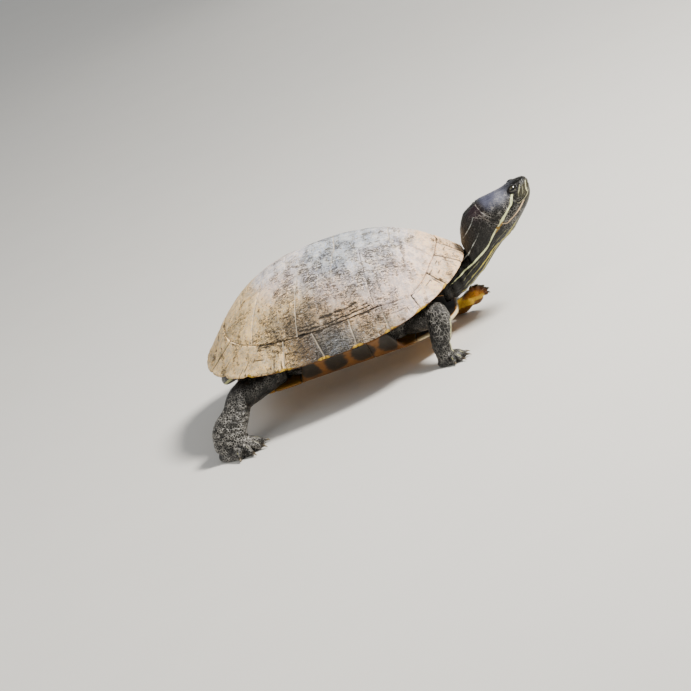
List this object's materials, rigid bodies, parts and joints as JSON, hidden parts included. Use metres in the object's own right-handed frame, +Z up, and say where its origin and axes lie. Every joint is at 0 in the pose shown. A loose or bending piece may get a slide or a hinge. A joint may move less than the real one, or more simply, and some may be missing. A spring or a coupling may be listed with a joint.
{
  "type": "red-eared slider turtle model",
  "caption": "Life-size still turtle standing on three feet, neck stretched up and forward, one forelimb raised, with a domed shell of separate plates.",
  "frame": {"origin": "on the floor under the middle of the model's footprint", "axes": "+X towards the head, +Y to the turtle's left, +Z up"},
  "size_m": [0.3024, 0.2054, 0.1067],
  "materials": {
    "carapace": "weathered grey-tan horn, mottled dark",
    "plastron": "yellow horn with dark blotches",
    "skin": "black-olive scaly skin with thin yellow stripes",
    "eye": "wet and glossy"
  },
  "bodies": {
    "root": {"nuchal": "carapace", "vertebral_1": "carapace", "vertebral_2": "carapace", "vertebral_3": "carapace", "vertebral_4": "carapace", "vertebral_5": "carapace", "pleural_right_1": "carapace", "pleural_right_2": "carapace", "pleural_right_3": "carapace", "pleural_right_4": "carapace", "pleural_left_1": "carapace", "pleural_left_2": "carapace", "pleural_left_3": "carapace", "pleural_left_4": "carapace", "marginal_right_1": "carapace", "marginal_right_2": "carapace", "marginal_right_3": "carapace", "marginal_right_4": "carapace", "marginal_right_5": "carapace", "marginal_right_6": "carapace", "marginal_right_7": "carapace", "marginal_right_8": "carapace", "marginal_right_9": "carapace", "marginal_right_10": "carapace", "marginal_right_11": "carapace", "marginal_right_12": "carapace", "marginal_left_1": "carapace", "marginal_left_2": "carapace", "marginal_left_3": "carapace", "marginal_left_4": "carapace", "marginal_left_5": "carapace", "marginal_left_6": "carapace", "marginal_left_7": "carapace", "marginal_left_8": "carapace", "marginal_left_9": "carapace", "marginal_left_10": "carapace", "marginal_left_11": "carapace", "marginal_left_12": "carapace", "plastron_gular": "plastron", "plastron_humeral": "plastron", "plastron_pectoral": "plastron", "plastron_abdominal": "plastron", "plastron_femoral": "plastron", "plastron_anal": "plastron", "trunk": "skin", "neck": "skin", "head": "skin", "lower_jaw": "skin", "tail": "skin", "right_foreleg": "skin", "right_forefoot": "skin", "left_foreleg": "skin", "left_forefoot": "skin", "right_hind_leg": "skin", "right_hind_foot": "skin", "left_hind_leg": "skin", "left_hind_foot": "skin", "eye_right": "eye", "eye_left": "eye"}
  },
  "joints": []
}
